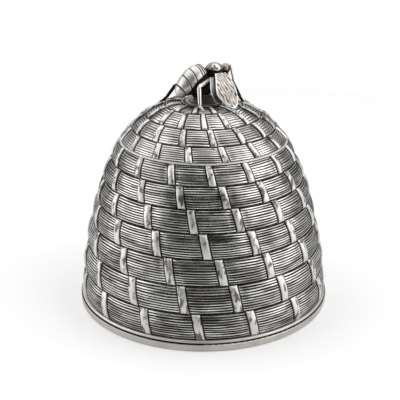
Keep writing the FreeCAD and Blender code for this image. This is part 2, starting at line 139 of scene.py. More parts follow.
# Bee: forward, left and up from the top of the dome
BEE_HEADING = 28.0
THORAX_PLACE = (4.9, 0.0, 12.0)
THORAX_LENGTH = 8.2
THORAX_WIDTH = 6.6
HEAD_PLACE = (10.3, 0.0, 12.1)
HEAD_RADIUS = 2.2
HEAD_LEAN = (0.3, 0.0, -0.95)
HEAD_LENGTH_SHARE = 0.98
HEAD_WIDTH_SHARE = 0.92
HEAD_ROUNDNESS = 0.9
EYE_FORWARD = 0.35
EYE_UP = 0.25
EYE_SIDE_SHARE = 0.52
EYE_REACH = (0.1, 0.15, 1.0)
EYE_LENGTH_SHARE = 0.5
EYE_WIDTH_SHARE = 0.40
ABDOMEN_RADIUS = 4.6
ABDOMEN_LEAN = 0.3
ABDOMEN_SEGMENTS = 5
ABDOMEN_FULLNESS = 0.55
ABDOMEN_BOW = (-0.6, 0.0, 0.6)
WAIST_FLARE = 4
WAIST_RADIUS = 2.2
WAIST_PLACE = (1.0, 0.0, 12.4)
TAIL_PLACE = (-12.7, 0.0, 3.2)
WING_ROOT_SHARE = 0.6
WING_SHOULDER_SHARE = 0.72
WING_SHOULDER_PLACE = 0.86
WING_THICKNESS = 0.6
WING_LID_GAP = 0.35
FAR_WING_LID_GAP = -0.8
FOREWING_ROOT = (0.24, -0.76, -0.09)
HINDWING_ROOT = (-0.30, -0.62, -0.62)
RIGHT_WING_BEND = 26.0
LEFT_WING_BEND = 60.0
LEG_RADII = (0.72, 0.85, 0.7, 0.5)
LEG_SINK = 1.0
LEG_LAP = 0.6
LEG_FLATNESS = 0.85
HIP_SIDE = 1.0
HIP_DROP = 2.7
ANTENNA_RADIUS = 0.48
ANTENNA_TAPER = 0.06
ANTENNA_ELBOW = (1.6, 1.4, 1.7)
ANTENNA_ELBOW_LAP = 0.3
ANTENNA_TIP = (2.9, 2.3, -5.6)
BEAD_COUNT = 9
BEAD_HEIGHT = 0.03

# Chasing of the bee: tufts and crescents of the thorax with a painted highlight round each crescent,
# plates of the abdomen, veins of the wings
TUFT_ALONG = 0.9
TUFT_ACROSS = 2.4
TUFT_HEIGHT = 0.012
THORAX_TRIM = 0.985
CRESCENT_PLACE = (-0.2, 2.2, 2.0)
CRESCENT_RADIUS = 0.95
CRESCENT_WIDTH = 0.45
CRESCENT_DEPTH = 0.02
HIGHLIGHT_RADIUS = 2.6
HIGHLIGHT_FADE = 1.2
PLATE_SEAM_BACK = 0.03
PLATE_SEAM_WIDTH = 0.34
PLATE_SEAM_DEPTH = 0.22
PLATE_STEP = 0.14
PLATE_STEP_SHIFT = 0.15
COLLAR_RINGS = ((0.845, 0.26), (0.90, 0.24))
COLLAR_END = 0.915
NECK_SHARE = 0.6
VEIN_SPACING = 1.3
VEIN_SLANT = -0.2
VEIN_WOBBLE = 0.9
WING_LINE_DEPTH = 0.16

# Rings of points round a bee's piece and rows along it
THORAX_MESH = (56, 56)
ABDOMEN_MESH = (56, 150)
HEAD_MESH = (28, 24)
EYE_MESH = (20, 16)
LEG_MESH = (20, 30)
ANTENNA_STALK_MESH = (12, 14)
ANTENNA_BEAD_MESH = (12, 60)
WING_ROWS = 100
WING_COLUMNS = 40
BEE_SMOOTH_ANGLE = 65.0

# Hip along the thorax, knee, ankle and toe of each leg, its side and how dark it is painted: painted shade
# on every leg but the right hind one, which is lit
LEGS = {
    "bee_leg_right_front": (0.35, (11.6, -3.8, 7.2), (16.4, -2.6), (17.6, -3.2), -1, 0.9),
    "bee_leg_right_middle": (0.0, (3.9, -4.6, 5.2), (4.0, -6.8), (4.8, -8.2), -1, 0.6),
    "bee_leg_right_hind": (-0.45, (-6.0, -7.2, 7.8), (-6.9, -9.6), (-6.0, -11.5), -1, 0.0),
    "bee_leg_left_front": (0.35, (10.6, 5.0, 6.4), (14.2, 6.4), (15.8, 7.1), 1, 0.9),
    "bee_leg_left_middle": (0.0, (4.4, 4.8, 5.1), (4.6, 6.9), (5.3, 8.3), 1, 0.8),
    "bee_leg_left_hind": (-0.45, (-9.2, 8.0, 5.5), (-10.5, 13.8), (-13.2, 15.4), 1, 1.0),
}

# Camera, fitted to the photo's outline
IMAGE_SIZE = 400
FOCAL_PIXELS = 928.1
CAMERA_DISTANCE = 406.9
CAMERA_ELEVATION = 21.59
CAMERA_TARGET = 43.70
CAMERA_SIDE = -1.54

# Studio in metres and watts: a place, a size and a power for each softbox
SOFTBOXES = {
    "top_softbox": ((0.05, 0.12, 0.70), (1.8, 1.0), 6.1),
    "left_softbox": ((-0.60, -0.10, 0.25), (0.8, 0.5), 1.65),
    "right_softbox": ((0.58, -0.22, 0.22), (0.8, 0.6), 2.1),
}
LIGHT_TARGET = (0, 0, 0.05)
WHITE = (1.0, 1.0, 1.0, 1.0)
ROOM_DIRECTION = (0.05, -0.97, 0.22)
ROOM_EDGE = (0.35, 0.90)
STUDIO_LIGHT = 0.32
ROOM_LIGHT = 0.02
FLOOR_RADIUS = 0.36
FLOOR_CORNERS = 96
FLOOR_GREY = (0.86, 0.86, 0.86, 1.0)
FLOOR_GLOW = 0.224

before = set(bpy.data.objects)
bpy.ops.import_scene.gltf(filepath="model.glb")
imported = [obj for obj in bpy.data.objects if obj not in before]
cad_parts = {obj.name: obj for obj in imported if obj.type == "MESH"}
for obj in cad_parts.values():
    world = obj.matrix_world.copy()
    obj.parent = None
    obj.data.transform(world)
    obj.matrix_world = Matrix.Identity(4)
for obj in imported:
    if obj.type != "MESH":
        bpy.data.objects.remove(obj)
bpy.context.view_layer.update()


def crest_radius(z):
    """Radius of the dome's outer line at height z."""
    return DOME_RADIUS * (1 - (z / DOME_HEIGHT) ** DOME_FULLNESS) ** (1 / DOME_SHOULDER)


def crest_height(r):
    """Height of the dome's outer line at radius r."""
    return DOME_HEIGHT * (1 - (r / DOME_RADIUS) ** DOME_SHOULDER) ** (1 / DOME_FULLNESS)


def crest_normal(r, z):
    """Outward direction (r, z) of the dome's outer line."""
    across = DOME_SHOULDER * (r / DOME_RADIUS) ** (DOME_SHOULDER - 1) / DOME_RADIUS
    along = DOME_FULLNESS * (z / DOME_HEIGHT) ** (DOME_FULLNESS - 1) / DOME_HEIGHT
    size = math.hypot(across, along)
    return across / size, along / size


def sunk(point, depth):
    """Point of the dome's outer line moved inward by depth."""
    across, along = crest_normal(*point)
    return point[0] - depth * across, point[1] - depth * along


def smooth(x):
    """Smooth step from 0 to 1."""
    x = min(max(x, 0.0), 1.0)
    return x * x * (3 - 2 * x)


def cloud(point):
    """Soft noise from 0 to 1."""
    return 0.5 + 0.5 * noise.noise(point)


def on_axis(r, z, azimuth):
    """Point at a radius, a height and an azimuth from the front towards +X."""
    turn = math.radians(azimuth)
    return Vector((r * math.sin(turn), -r * math.cos(turn), z))


def body_coil_points():
    """Groove, crest, groove, ... of the body's coils from the foot wire to the seam."""
    count = len(BODY_STRAWS)
    mean = (SEAM_HEIGHT - FOOT_HEIGHT) / count
    levels = [FOOT_HEIGHT]
    for i in range(count):
        levels.append(levels[-1] + mean + COIL_THINNING * ((count - 1) / 2 - i))
    levels[0] = WIRE_TOP
    points = [(crest_radius(WIRE_TOP) - GROOVE_DEPTH, WIRE_TOP)]
    for low, high in zip(levels, levels[1:]):
        middle = (low + high) / 2
        points.append((crest_radius(middle) - BODY_CREST_SINK, middle))
        points.append((crest_radius(high) - GROOVE_DEPTH, high))
    return points


def lid_coil_points():
    """Groove, crest, groove, ... of the lid's coils from its rim to the crown disc."""
    samples = 400
    start = math.asin((RIM_TOP / DOME_HEIGHT) ** (DOME_FULLNESS / 2))
    end = math.acos((CROWN_RADIUS / DOME_RADIUS) ** (DOME_SHOULDER / 2))
    line = []
    for i in range(samples + 1):
        turn = start + (end - start) * i / samples
        r = DOME_RADIUS * math.cos(turn) ** (2 / DOME_SHOULDER)
        line.append((r, DOME_HEIGHT * math.sin(turn) ** (2 / DOME_FULLNESS)))
    lengths = [0.0]
    for a, b in zip(line, line[1:]):
        lengths.append(lengths[-1] + math.dist(a, b))

    def at(share):
        target = share * lengths[-1]
        return min(zip(lengths, line), key=lambda pair: abs(pair[0] - target))[1]

    points = [(line[0][0] - RIM_SETBACK, RIM_TOP)]
    done = 0.0
    for share, sink, depth in zip(LID_COIL_SHARES, LID_CREST_SINKS, LID_GROOVE_DEPTHS):
        points.append(sunk(at(done + share / 2), sink))
        done += share
        points.append(sunk(at(done), depth))
    points[-1] = (CROWN_RADIUS, crest_height(CROWN_RADIUS) - CROWN_SEAT)
    return points


def arc_through(low, crest, high):
    """Centre, radius and end angles of the arc through three points (r, z)."""
    a = low[0] ** 2 + low[1] ** 2
    b = crest[0] ** 2 + crest[1] ** 2
    c = high[0] ** 2 + high[1] ** 2
    twice = 2 * (low[0] * (crest[1] - high[1]) + crest[0] * (high[1] - low[1])
                 + high[0] * (low[1] - crest[1]))
    r = (a * (crest[1] - high[1]) + b * (high[1] - low[1]) + c * (low[1] - crest[1])) / twice
    z = (a * (high[0] - crest[0]) + b * (low[0] - high[0]) + c * (crest[0] - low[0])) / twice
    start = math.atan2(low[1] - z, low[0] - r)
    end = math.atan2(high[1] - z, high[0] - r)
    return (r, z), math.dist((r, z), low), start, end


class Shell:
    """Closed surface made of rings about the pot's axis, each with its own number of points."""

    def __init__(self):
        self.points = []
        self.faces = []
        self.plain = []
        self.values = {"straw": [], "strap": [], "groove": [], "dark": []}
        self.first = None
        self.last = None

    def add_point(self, point, straw=0.5, strap=FAR_AWAY, groove=FAR_AWAY, dark=0.0):
        """Adds a point with the values that its finish needs."""
        self.points.append(point)
        for key, value in zip(self.values, (straw, strap, groove, dark)):
            self.values[key].append(value)
        return len(self.points) - 1

    def add_faces(self, faces, plain):
        """Adds faces that are plain silver or part of a coil."""
        self.faces.extend(faces)
        self.plain.extend([plain] * len(faces))

    def link(self, ring, plain):
        """Joins a ring of (point, azimuth) to the one before it."""
        if self.last is None:
            self.first = ring
        elif len(ring) == 1 or len(self.last) == 1:
            self.add_faces(fan(self.last, ring), plain)
        elif [azimuth for _, azimuth in ring] == [azimuth for _, azimuth in self.last]:
            self.add_faces(strip(self.last, ring), plain)
        else:
            self.add_faces(zipped(self.last, ring), plain)
        self.last = ring

    def plain_ring(self, r, z, dark=0.0):
        """Adds a smooth round ring, or the point on the axis."""
        count = RING_POINTS if r > 0 else 1
        ring = []
        for i in range(count):
            azimuth = 360 / RING_POINTS * i
            ring.append((self.add_point(on_axis(r, z, azimuth), dark=dark), azimuth))
        self.link(ring, True)

    def close(self):
        """Joins the last ring to the first one."""
        self.link(self.first, True)


def strip(lower, upper):
    """Quads between two rings with the same azimuths."""
    count = len(lower)
    faces = []
    for i in range(count):
        j = (i + 1) % count
        faces.append((lower[i][0], lower[j][0], upper[j][0], upper[i][0]))
    return faces


def fan(lower, upper):
    """Triangles between a ring and a single point on the axis."""
    ring, point = (lower, upper) if len(upper) == 1 else (upper, lower)
    faces = []
    for i in range(len(ring)):
        pair = (ring[i][0], ring[(i + 1) % len(ring)][0])
        if ring is upper:
            pair = pair[::-1]
        faces.append(pair + (point[0][0],))
    return faces


def zipped(lower, upper):
    """Triangles between two rings whose azimuths differ."""
    def offset(azimuth):
        return (azimuth - lower[0][1] + 180) % 360 - 180

    nearest = min(range(len(upper)), key=lambda i: abs(offset(upper[i][1])))
    upper = upper[nearest:] + upper[:nearest]

    def turns(ring, start):
        places = [start]
        for i in range(len(ring)):
            step = (ring[(i + 1) % len(ring)][1] - ring[i][1]) % 360
            places.append(places[-1] + step)
        return places

    low_places = turns(lower, 0.0)
    high_places = turns(upper, offset(upper[0][1]))
    faces = []
    i = 0
    j = 0
    while i < len(lower) or j < len(upper):
        a = lower[i % len(lower)][0]
        b = upper[j % len(upper)][0]
        low_next = low_places[i + 1] if i < len(lower) else math.inf
        high_next = high_places[j + 1] if j < len(upper) else math.inf
        if low_next <= high_next:
            i += 1
            faces.append((a, lower[i % len(lower)][0], b))
        else:
            j += 1
            faces.append((a, upper[j % len(upper)][0], b))
    return faces


def coil_straps(start, count, hinged, chance):
    """Azimuths of a coil's straps, each a little off its even place, and which are clear of the hinge."""
    straps = []
    for i in range(count):
        azimuth = start + 360 / count * i
        from_back = abs(azimuth % 360 - 180)
        present = not (hinged and from_back < HINGE_HALF_ANGLE)
        straps.append((azimuth + chance.uniform(-STRAP_JITTER, STRAP_JITTER), present))
    return straps


def coil_columns(straps, radius, half):
    """Azimuths round a coil with the distance outside the nearest strap's edge, in mm."""
    foot = half + STRAP_FOOT
    outer = foot + OUTLINE_WIDTH + OUTLINE_FADE
    right = [0.0, half * 0.5, half - STRAP_BEVEL, foot, foot + OUTLINE_WIDTH, outer]
    offsets = [-x for x in reversed(right[1:])] + right
    degrees = math.degrees(1 / radius)
    columns = []
    for i, (middle, present) in enumerate(straps):
        for offset in offsets:
            columns.append((middle + offset * degrees, abs(offset) - half if present else FAR_AWAY))
        after, after_present = straps[(i + 1) % len(straps)]
        gap = (after - middle) % 360 - 2 * outer * degrees
        for j in range(1, STRAW_COLUMNS + 1):
            share = j / (STRAW_COLUMNS + 1)
            azimuth = middle + outer * degrees + gap * share
            away = min(share, 1 - share) * gap / degrees + outer - half
            near = present if share < 0.5 else after_present
            columns.append((azimuth, away if near else FAR_AWAY))
    return columns


def coil_rows(straws, length):
    """Places up a coil from groove to groove with the phase across the straws."""
    edge = GROOVE_LINE / length
    rows = [(edge * share, 0.0) for share in GROOVE_ROWS]
    for i in range(straws * STRAW_ROWS + 1):
        phase = i / STRAW_ROWS
        rows.append((edge + (1 - 2 * edge) * phase / straws, phase))
    rows += [(1 - edge * share, float(straws)) for share in reversed(GROOVE_ROWS)]
    return rows


def strap_relief(away, half):
    """Height of a strap, its bevel and the dark channel round it, by the distance outside its edge."""
    if away < -STRAP_BEVEL:
        return STRAP_RISE + STRAP_CROWN * min(1.0, -away / half) ** 0.5
    if away < STRAP_FOOT:
        share = (STRAP_FOOT - away) / (STRAP_FOOT + STRAP_BEVEL)
        return -OUTLINE_DEPTH + (STRAP_RISE + OUTLINE_DEPTH) * share
    return -OUTLINE_DEPTH


def add_coil(shell, low, crest, high, straws, straps, dark):
    """Adds one coil's rows to a shell: ridges of straw with slanted straps over them."""
    centre, bend, start, end = arc_through(low, crest, high)
    length = bend * abs(end - start)
    half = (STRAP_WIDTH + STRAP_WIDTH_GROWTH * crest[0]) / 2
    columns = coil_columns(straps, crest[0], half)
    for place, phase in coil_rows(straws, length):
        inside = min(place, 1 - place) * length
        ridge = math.sin(math.pi * (phase % 1.0)) ** STRAW_ROUNDNESS
        tuck = smooth(place / STRAP_TUCK) * smooth((1 - place) / STRAP_TUCK)
        calm = smooth(inside / CALM_EDGE)
        ring = []
        for azimuth, distance in columns:
            turned = azimuth + STRAP_SLANT * (0.5 - place)
            spot = on_axis(crest[0], place * length, turned)
            grain = Vector((spot.x * WAVER_ROUND, spot.y * WAVER_ROUND, spot.z * WAVER_UP + crest[1]))
            shift = noise.noise(grain) * STRAW_WAVER / straws * calm
            swell = cloud(spot * SWELL_SCALE + Vector((crest[1], 0, 0)))
            full = ridge * (1 - SWELL_SHARE + SWELL_SHARE * swell)
            straw_height = -STRAW_DEPTH * (1 - full) * smooth(inside / GROOVE_LINE)
            band = strap_relief(distance, half) * tuck
            blend = smooth((distance - STRAP_FOOT - OUTLINE_WIDTH) / OUTLINE_FADE)
            cinch = CINCH_DEPTH * (1 - smooth(distance / CINCH_REACH)) * calm
            height = band + (straw_height - cinch - band) * blend
            angle = start + (end - start) * (place + shift * blend)
            r = centre[0] + (bend + height) * math.cos(angle)
            z = centre[1] + (bend + height) * math.sin(angle)
            ring.append((shell.add_point(on_axis(r, z, turned), phase, distance, inside, dark), turned))
        shell.link(ring, False)


def body_shell():
    """The body's wall: seven coils outside, the flat land at the seam and the smooth inside."""
    chance = random.Random(BODY_SEED)
    points = body_coil_points()
    shell = Shell()
    shell.plain_ring(points[0][0], FOOT_HEIGHT)
    shell.plain_ring(points[0][0], WIRE_TOP)
    for i, straws in enumerate(BODY_STRAWS):
        hinged = i == len(BODY_STRAWS) - 1
        straps = coil_straps(BODY_STRAP_START + STRAP_STEP * i, STRAP_COUNT, hinged, chance)
        add_coil(shell, *points[2 * i:2 * i + 3], straws, straps, TOP_COIL_OXIDE if hinged else BODY_OXIDE)
    mouth = crest_radius(SEAM_HEIGHT) - GROOVE_DEPTH - MOUTH_LAND
    lip_bottom = SEAM_HEIGHT - MOUTH_DEPTH
    shell.plain_ring(points[-1][0] - RING_STEP, SEAM_HEIGHT)
    shell.plain_ring(mouth + EDGE_ROUND, SEAM_HEIGHT)
    shell.plain_ring(mouth, SEAM_HEIGHT - EDGE_ROUND)
    shell.plain_ring(mouth, lip_bottom)
    for i in range(INSIDE_STEPS + 1):
        z = lip_bottom + (FOOT_HEIGHT - lip_bottom) * i / INSIDE_STEPS
        across = crest_normal(crest_radius(z), z)[0]
        shell.plain_ring(crest_radius(z) - (GROOVE_DEPTH + WALL) / across, z)
    shell.close()
    return shell


def lid_shell():
    """The lid's dome: a smooth inside, then four coils outside and a flat seat for the crown disc."""
    chance = random.Random(LID_SEED)
    points = lid_coil_points()
    shell = Shell()
    depth = GROOVE_DEPTH + WALL
    ceiling = CROWN_RADIUS / 2
    edge = crest_radius(RIM_TOP) - depth / crest_normal(crest_radius(RIM_TOP), RIM_TOP)[0]
    shell.plain_ring(0, sunk((ceiling, crest_height(ceiling)), depth)[1])
    for i in range(INSIDE_STEPS):
        r = ceiling + (edge - ceiling) * math.sin(math.pi / 2 * i / INSIDE_STEPS)
        shell.plain_ring(*sunk((r, crest_height(r)), depth))
    shell.plain_ring(edge, RIM_TOP)
    shell.plain_ring(points[0][0], RIM_TOP)
    for i, straws in enumerate(LID_STRAWS):
        crown = i == len(LID_STRAWS) - 1
        first = CROWN_STRAP_START if crown else LID_STRAP_START + STRAP_STEP * i
        straps = coil_straps(first, CROWN_STRAP_COUNT if crown else STRAP_COUNT, i == 0, chance)
        add_coil(shell, *points[2 * i:2 * i + 3], straws, straps, LID_OXIDE)
    shell.plain_ring(CROWN_RADIUS - RING_STEP, points[-1][1] - CAP_DROP)
    shell.plain_ring(0, points[-1][1] - CAP_DROP)
    return shell


class Form:
    """Mesh of one or more closed bodies, with how dark each point is painted, from oxide and from painted
    shade.
    """

    def __init__(self):
        self.points = []
        self.faces = []
        self.dark = []

    def rings(self, rows):
        """Adds a closed body from rows of (points, darkness), with its ends drawn to a point."""
        base = len(self.points)
        count = len(rows[0][0])
        for points, darks in rows:
            self.points.extend(points)
            self.dark.extend(darks)
        for row in range(len(rows) - 1):
            for i in range(count):
                j = (i + 1) % count
                a = base + row * count
                self.faces.append((a + i, a + j, a + count + j, a + count + i))
        for row, flip in ((0, True), (len(rows) - 1, False)):
            start = base + row * count
            middle = sum(rows[row][0], Vector()) / count
            self.points.append(middle)
            self.dark.append(sum(rows[row][1]) / count)
            tip = len(self.points) - 1
            for i in range(count):
                j = (i + 1) % count
                self.faces.append((start + j, start + i, tip) if flip else (start + i, start + j, tip))


def axes_across(direction):
    """Two unit directions across a direction, the first one level."""
    along = direction.normalized()
    across = Vector((0, 0, 1)).cross(along)
    if across.length < 0.01:
        across = Vector((0, 1, 0)).cross(along)
    across.normalize()
    return across, along.cross(across)


def spindle(form, start, end, radius, mesh, flat=1.0, dark=None, bend=(0, 0, 0)):
    """Adds a round body from start to end, bowed by bend; radius and dark are functions of the share.
    The mesh is its number of points round and of rows along."""
    start = Vector(start)
    end = Vector(end)
    bend = Vector(bend) * 4
    points, rows = mesh
    made = []
    for row in range(rows + 1):
        share = 0.5 - 0.5 * math.cos(math.pi * row / rows)
        centre = start + (end - start) * share + bend * share * (1 - share)
        across, over = axes_across(end - start + bend * (1 - 2 * share))
        size = max(radius(share), 0.01)
        ring = []
        for i in range(points):
            turn = 2 * math.pi * i / points
            ring.append(centre + across * size * math.cos(turn) + over * size * flat * math.sin(turn))
        made.append((ring, [dark(share) if dark else 0.0] * points))
    form.rings(made)


def oval(share):
    """Radius of a half circle drawn out along its length."""
    return math.sqrt(max(share * (1 - share), 0.0)) * 2


def surface_up(forward, left):
    """Height of the lid's outer line at a place, measured from the top of the dome."""
    return crest_height(math.hypot(forward, left)) - DOME_HEIGHT


def thorax_marks(away):
    """Shares of the chased crescents and of the painted highlight round them at a point."""
    forward, left, up = CRESCENT_PLACE
    crescent = 0.0
    painted_highlight = 0.0
    for side in (-1, 1):
        spot = Vector((away.x - forward, away.y - side * left, away.z - up))
        ring = smooth(1 - abs(spot.length - CRESCENT_RADIUS) / CRESCENT_WIDTH)
        crescent = max(crescent, ring * smooth(-(spot.x + spot.z) * 1.5 + 0.6))
        painted_highlight = max(painted_highlight, smooth((HIGHLIGHT_RADIUS - spot.length) / HIGHLIGHT_FADE))
    return crescent, painted_highlight


def bee_thorax():
    """Oval ball of fine tufts, with a chased crescent on each side, a painted highlight round each
    crescent and painted shade on its underside.
    """
    form = Form()
    place = Vector(THORAX_PLACE)
    half = Vector((THORAX_LENGTH / 2, 0, 0))
    spindle(form, place - half, place + half, lambda s: THORAX_WIDTH / 2 * oval(s), THORAX_MESH)
    for i, point in enumerate(form.points):
        away = point - place
        tuft = noise.noise(Vector((away.x * TUFT_ALONG, away.y * TUFT_ACROSS, away.z * TUFT_ACROSS)))
        crescent, painted_highlight = thorax_marks(away)
        form.points[i] = place + away * (THORAX_TRIM + TUFT_HEIGHT * tuft - CRESCENT_DEPTH * crescent)
        hollow = smooth(-tuft * 2)
        # The underside is darkened with painted shade, and the area round each crescent is lightened with
        # a painted highlight.
        under = smooth((1.1 - away.z) / 1.4)
        form.dark[i] = min(1.0, 0.55 - 0.30 * painted_highlight + 0.60 * crescent + 0.25 * hollow + 0.6 * under)
    return form


def bee_head():
    """Small round head with an oval eye on each side."""
    form = Form()
    place = Vector(HEAD_PLACE)
    half = Vector(HEAD_LEAN) * HEAD_RADIUS * HEAD_LENGTH_SHARE
    spindle(form, place - half, place + half,
            lambda s: HEAD_RADIUS * HEAD_WIDTH_SHARE * oval(s) ** HEAD_ROUNDNESS, HEAD_MESH,
            dark=lambda s: 0.50 + 0.45 * smooth((s - 0.4) * 3))
    for side in (-1, 1):
        eye = place + Vector((EYE_FORWARD, side * HEAD_RADIUS * EYE_SIDE_SHARE, EYE_UP))
        reach = Vector((EYE_REACH[0], side * EYE_REACH[1], EYE_REACH[2])) * HEAD_RADIUS * EYE_LENGTH_SHARE
        spindle(form, eye - reach, eye + reach, lambda s: HEAD_RADIUS * EYE_WIDTH_SHARE * oval(s),
                EYE_MESH, dark=lambda s: 0.65)
    return form


def abdomen_shade(point, share, below):
    """Darkness: painted shade that deepens towards the waist, stains on the sides, and painted shade under
    the belly.
    """
    stain = cloud(point * 0.45)
    shade = 0.28 + 0.10 * smooth((share - 0.76) / 0.08) + 0.25 * stain * smooth((below + 0.4) / 2.0)
    # Painted shade under the belly, reaching higher towards the waist and fading out at the tail.
    belly = 0.9 - 1.7 * smooth((share - 0.22) / 0.35)
    return shade + smooth((below - belly) / 1.2) * smooth((share - 0.12) / 0.25)


def bee_abdomen():
    """Egg of overlapping plates from the tail to the waist, with a collar of two rings."""
    form = Form()
    tail = Vector(TAIL_PLACE)
    axis = Vector(WAIST_PLACE) - tail
    over = Vector((-axis.z, 0, axis.x)).normalized()
    seams = list(COLLAR_RINGS)
    for i in range(1, ABDOMEN_SEGMENTS):
        seams.append((i / ABDOMEN_SEGMENTS - PLATE_SEAM_BACK, PLATE_SEAM_WIDTH))

    def seam(share):
        return max(smooth(1 - abs(share - place) * axis.length / width) for place, width in seams)

    def swell(share):
        return math.sin(math.pi * min(max(share, 0.0), 1.0))

    def radius(share):
        full = WAIST_RADIUS * share ** WAIST_FLARE + ABDOMEN_RADIUS * swell(share) ** ABDOMEN_FULLNESS
        within = (share * ABDOMEN_SEGMENTS + PLATE_STEP_SHIFT) % 1.0
        neck = smooth((share - COLLAR_END) / 0.05) * (full - WAIST_RADIUS * NECK_SHARE)
        return full - PLATE_SEAM_DEPTH * seam(share) - PLATE_STEP * (1 - within) - neck

    def dark(share):
        return 0.95 * max(seam(share), smooth((share - COLLAR_END) / 0.03))

    spindle(form, tail, WAIST_PLACE, radius, ABDOMEN_MESH, dark=dark, bend=ABDOMEN_BOW)
    for i, point in enumerate(form.points):
        away = point - tail
        share = away.dot(axis) / axis.length_squared
        form.points[i] = point + axis.normalized() * (ABDOMEN_LEAN * away.dot(over) * swell(share))
        below = (tail + axis * share - point).z + ABDOMEN_BOW[2] * 4 * share * (1 - share)
        form.dark[i] = min(1.0, form.dark[i] + abdomen_shade(point, share, below))
    return form


def wing_half(x, length, width):
    """Half the wing's width at a distance from its root."""
    shoulder = length * WING_SHOULDER_PLACE
    shoulder_half = width / 2 * WING_SHOULDER_SHARE
    if x > shoulder:
        reach = length - shoulder
        round_radius = (reach ** 2 + shoulder_half ** 2) / (2 * reach)
        return math.sqrt(max(round_radius ** 2 - (x - length + round_radius) ** 2, 0.0))
    low = (0.0, width / 2 * WING_ROOT_SHARE)
    centre, bend, _, _ = arc_through(low, (length / 2, width / 2), (shoulder, shoulder_half))
    return centre[1] + math.sqrt(bend ** 2 - (x - centre[0]) ** 2)


def wing_tip(root, forward, length, gap):
    """Place on the bee's right where a wing of this length comes down to the lid."""
    low = 0.0
    high = length
    for _ in range(40):
        left = -(low + high) / 2
        up = surface_up(forward, root[1] + left) + gap + WING_THICKNESS / 2
        if math.dist(root, (forward, root[1] + left, up)) < length:
            low = -left
        else:
            high = -left
    return Vector((forward, root[1] + left, up))


class Wing:
    """A wing's length, width, the sweep of its tip, its root on the thorax, the radius it is bent to,
    how much fuller its rear edge is and the gap under its tip."""

    def __init__(self, length, width, sweep, root, bend, fuller, gap=WING_LID_GAP):
        self.length = length
        self.width = width
        self.bend = bend
        self.fuller = fuller
        self.root = (THORAX_PLACE[0] + root[0] * THORAX_LENGTH / 2, root[1] * THORAX_WIDTH / 2,
                     THORAX_PLACE[2] + root[2] * THORAX_WIDTH / 2)
        self.tip = wing_tip(self.root, self.root[0] + sweep, length, gap)


def veins(x, y):
    """Depth from 0 to 1 of the wavy chased lines that run down a forewing."""
    wobble = noise.noise(Vector((x * 0.35, y * 0.6, 3.0))) * VEIN_WOBBLE
    lane = (y + VEIN_SLANT * x + wobble) / VEIN_SPACING
    across = abs(lane % 1.0 - 0.5) * 2
    worn = noise.noise(Vector((x * 0.5, round(lane) * 2.3, 5.0)))
    return smooth((across - 0.4) / 0.5) * (0.3 + 0.7 * smooth(0.5 + 1.5 * worn))


def fore_finish(u, x, y, half):
    """Depth and darkness on the upper face of a forewing: veins inside a bright rim."""
    rim = smooth((half - abs(y) - 0.25) / 0.35) * smooth((0.985 - u) / 0.02)
    line = veins(x, y) * rim
    stain = cloud(Vector((x * 0.5, y * 0.5, 7.0)))
    return WING_LINE_DEPTH * line, 0.45 * line + 0.10 + rim * (0.07 + 0.07 * u + 0.31 * stain)


def hind_finish(u, x, y, half):
    """Depth and darkness on the upper face of a hindwing: a raised rim round a dark field."""
    field = smooth((half - abs(y) - 0.35) / 0.5) * smooth((0.98 - u) / 0.03)
    stain = cloud(Vector((x * 0.35, y * 1.6, 5.0)))
    front = smooth((y + half * 0.3) / half)
    return WING_LINE_DEPTH * field, field * (0.02 + 0.14 * stain + 0.30 * front)


def bee_wing(wing, finish, side):
    """Curved leaf from its root on the thorax to its tip just over the lid, painted near-black underneath
    as painted shade.
    """
    length = wing.length
    root = Vector(wing.root)
    along = (wing.tip - root).normalized()
    forward = Vector((1, 0, 0))
    across = (forward - along * along.dot(forward)).normalized()
    over = along.cross(across)
    sag = wing.bend - math.sqrt(wing.bend ** 2 - (length / 2) ** 2)
    form = Form()
    made = []
    for row in range(WING_ROWS + 1):
        u = 0.03 + 0.967 * (0.5 - 0.5 * math.cos(math.pi * (0.1 + 0.9 * row / WING_ROWS)))
        x = u * length
        half = max(wing_half(x, length, wing.width), 0.05)
        lift = sag - wing.bend + math.sqrt(wing.bend ** 2 - (x - length / 2) ** 2)
        ring = []
        darks = []
        for i in range(2 * WING_COLUMNS):
            top = i < WING_COLUMNS
            share = ((i if top else 2 * WING_COLUMNS - 1 - i) + 0.5) / WING_COLUMNS
            v = math.cos(math.pi * share)
            reach = half * (1 + wing.fuller * math.sin(math.pi * u ** 2)) if v < 0 else half
            # The underside is painted near-black: painted shade under the wing.
            depth, dark = finish(u, x, v * reach, reach) if top else (0.0, 0.97)
            thick = WING_THICKNESS / 2 * math.sqrt(max(1 - v ** 6, 0.0))
            height = lift + thick - depth if top else lift - thick
            point = root + along * x + across * v * reach + over * height
            if side > 0:
                point.y = -point.y
            ring.append(point)
            darks.append(dark)
        made.append((ring, darks))
    if side < 0:
        made = [(ring[::-1], darks[::-1]) for ring, darks in made]
    form.rings(made)
    return form


